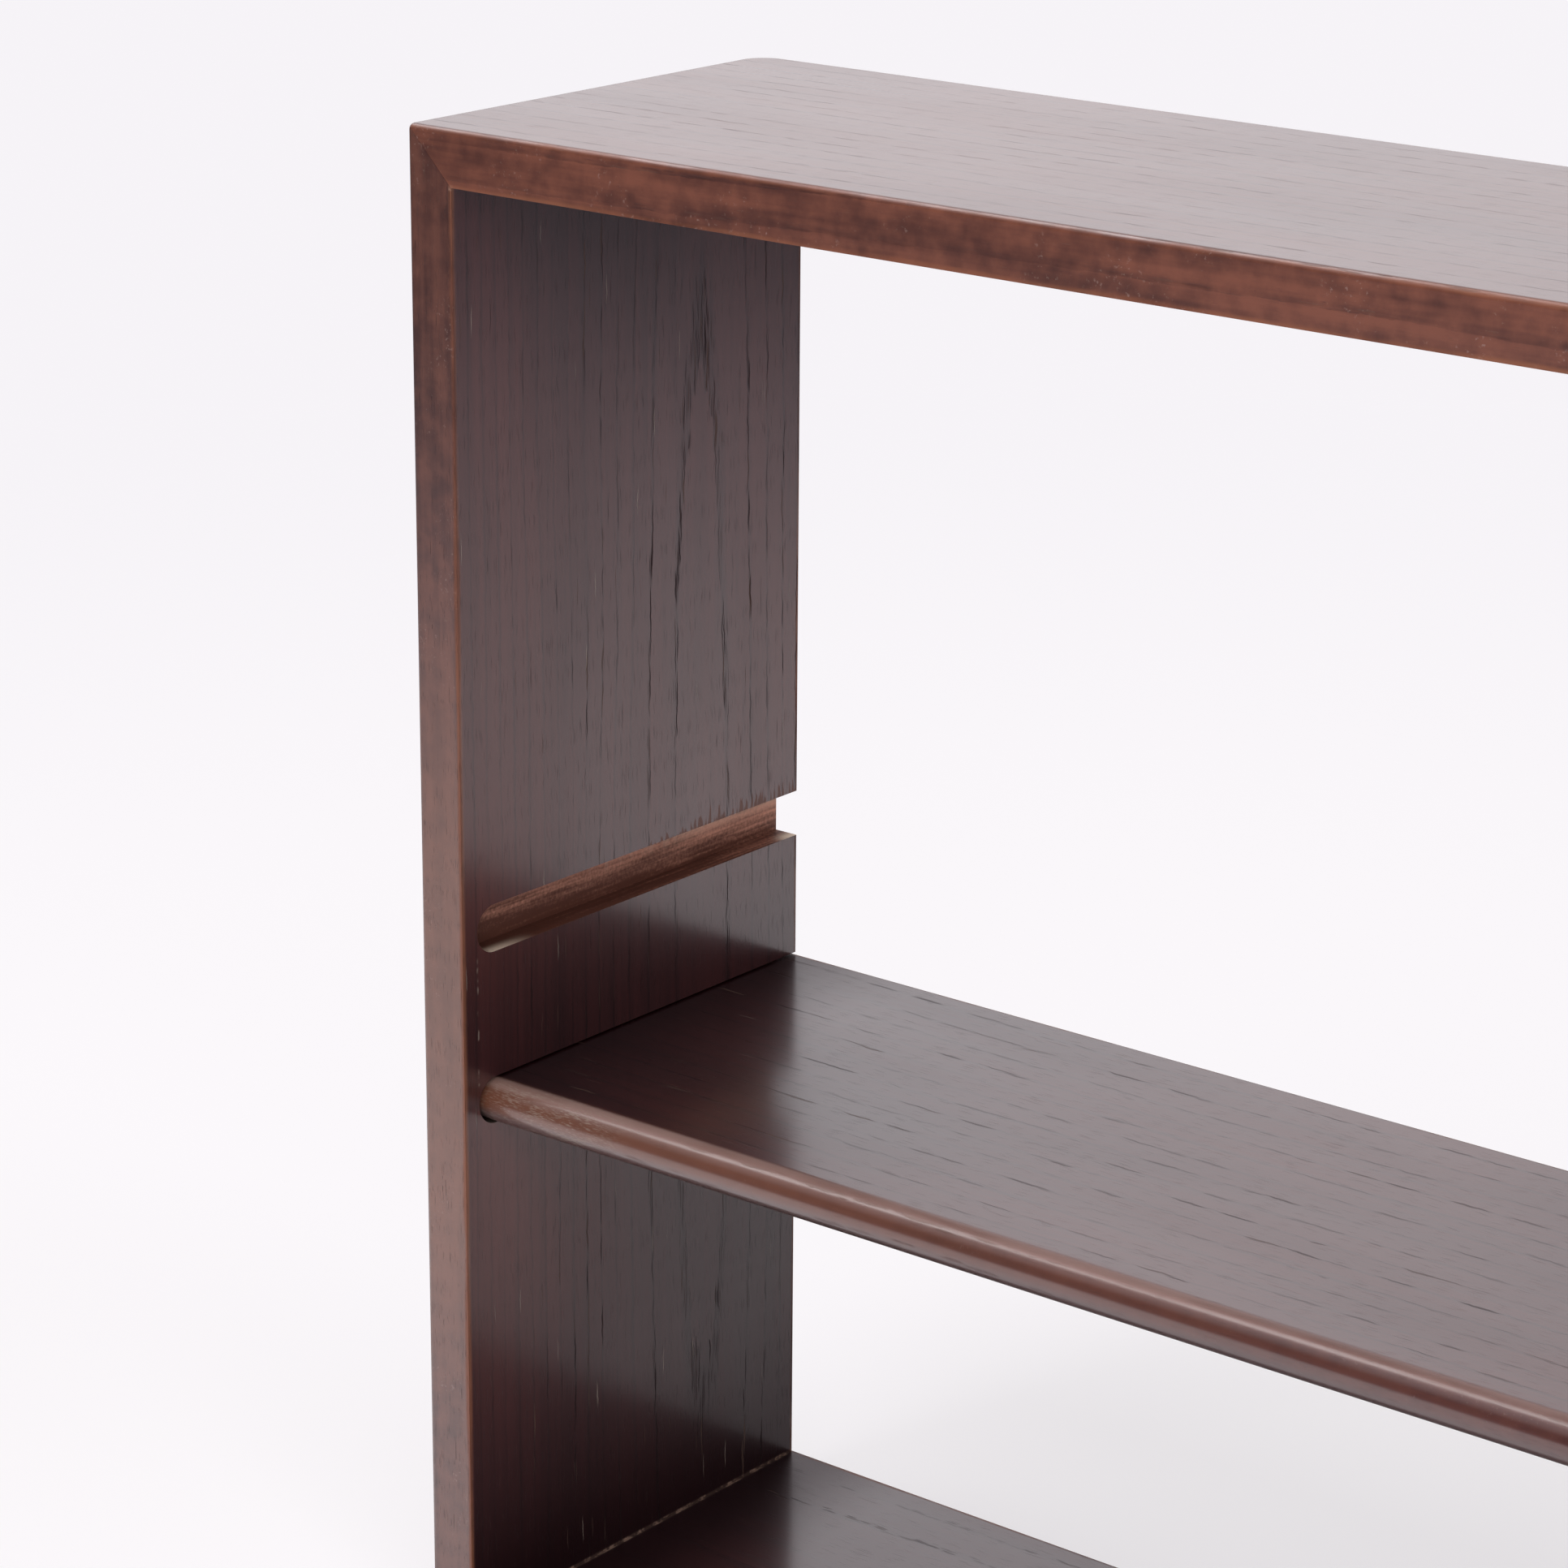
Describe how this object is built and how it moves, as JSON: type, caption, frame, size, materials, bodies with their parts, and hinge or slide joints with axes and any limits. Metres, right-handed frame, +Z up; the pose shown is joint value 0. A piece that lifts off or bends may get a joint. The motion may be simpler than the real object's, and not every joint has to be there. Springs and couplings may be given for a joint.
{
  "type": "open shelf unit",
  "caption": "Open-backed shelf unit of dark-stained wood: a mitred carcase with routed side slots and a loose round-nosed shelf that slides in from behind.",
  "frame": {"origin": "on the floor, under the middle of the unit", "axes": "+X along the width, to the right as seen from the front; +Y from the front to the back; +Z up"},
  "size_m": [0.6, 0.17, 0.52],
  "materials": {
    "stained_ash": "dark brown stain under a satin lacquer, pores left open",
    "beech": "bare"
  },
  "bodies": {
    "carcase": {"top_board": "stained_ash", "bottom_board": "stained_ash", "left_side": "stained_ash", "right_side": "stained_ash", "dowel_top_left_1": "beech", "dowel_top_left_2": "beech", "dowel_top_left_3": "beech", "dowel_top_left_4": "beech", "dowel_top_right_1": "beech", "dowel_top_right_2": "beech", "dowel_top_right_3": "beech", "dowel_top_right_4": "beech", "dowel_bottom_left_1": "beech", "dowel_bottom_left_2": "beech", "dowel_bottom_left_3": "beech", "dowel_bottom_left_4": "beech", "dowel_bottom_right_1": "beech", "dowel_bottom_right_2": "beech", "dowel_bottom_right_3": "beech", "dowel_bottom_right_4": "beech"},
    "shelf": {"adjustable_shelf": "stained_ash"}
  },
  "joints": [
    {"name": "shelf_slide", "type": "slide", "parent": "carcase", "child": "shelf", "axis": [0, 1, 0], "range_m": [-0.0022, 0.18]}
  ]
}
